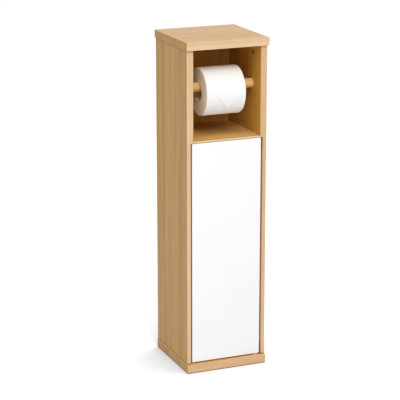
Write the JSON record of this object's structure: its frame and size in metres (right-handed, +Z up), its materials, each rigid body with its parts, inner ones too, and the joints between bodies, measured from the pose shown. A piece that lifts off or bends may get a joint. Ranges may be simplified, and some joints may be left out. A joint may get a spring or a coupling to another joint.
{
  "type": "toilet roll storage cabinet",
  "caption": "Slim free-standing bathroom cabinet with an open niche that holds a toilet roll on a wooden rod above a push-to-open cupboard for spare rolls.",
  "frame": {"origin": "on the floor, under the middle of the cabinet's base board", "axes": "+X to the right seen from the front, +Y to the back, +Z up; the door faces -Y"},
  "size_m": [0.205, 0.203, 0.795],
  "materials": {
    "oak_board": "satin oak-effect foil on board",
    "oak_back": "satin oak-effect foil on thin board",
    "beech": "plain turned beech",
    "beech_rod": "clear-lacquered turned beech",
    "white_door": "smooth white lacquer on board",
    "steel": "zinc-plated steel",
    "spring_steel": "bright spring wire",
    "zinc": "die-cast zinc",
    "magnet": "nickel-plated magnet",
    "white_plastic": "moulded white plastic",
    "nylon": "natural nylon",
    "core_card": "grey-brown card",
    "tissue": "soft white tissue"
  },
  "bodies": {
    "cabinet": {"top_board": "oak_board", "base_board": "oak_board", "left_side_panel": "oak_board", "right_side_panel": "oak_board", "niche_shelf": "oak_board", "back_panel": "oak_back", "inner_shelf": "oak_board", "shelf_pegs": "steel", "cam_locks": "zinc", "cam_bolts": "steel", "wooden_dowels": "beech", "upper_hinge_plate": "steel", "lower_hinge_plate": "steel", "hinge_pins": "steel", "hinge_screws": "steel", "latch_housing": "white_plastic", "latch_spring": "spring_steel", "latch_screws": "steel"},
    "door": {"door_panel": "white_door", "upper_hinge_bush": "nylon", "lower_hinge_bush": "nylon", "strike_plate": "steel", "strike_screw": "steel"},
    "plunger": {"latch_plunger": "white_plastic", "plunger_magnet": "magnet"},
    "rod": {"roll_rod": "beech_rod"},
    "roll": {"roll_core": "core_card", "paper_roll": "tissue"}
  },
  "joints": [
    {"name": "door_swing", "type": "hinge", "parent": "cabinet", "child": "door", "pos_m": [0.079, -0.087, 0.292], "axis": [0, 0, 1], "range_deg": [0, 105]},
    {"name": "plunger_slide", "type": "slide", "parent": "cabinet", "child": "plunger", "axis": [0, -1, 0], "range_m": [0, 0.01], "deforming": ["latch_spring"]},
    {"name": "rod_slide", "type": "slide", "parent": "cabinet", "child": "rod", "axis": [1, 0, 0], "range_m": [0, 0.006]},
    {"name": "roll_spin", "type": "hinge", "parent": "rod", "child": "roll", "pos_m": [-0.0025, -0.042, 0.66875], "axis": [1, 0, 0], "continuous": true}
  ],
  "couplings": [
    {"joint": "plunger_slide", "follows": "door_swing", "m_per_rad": 0.0054}
  ]
}
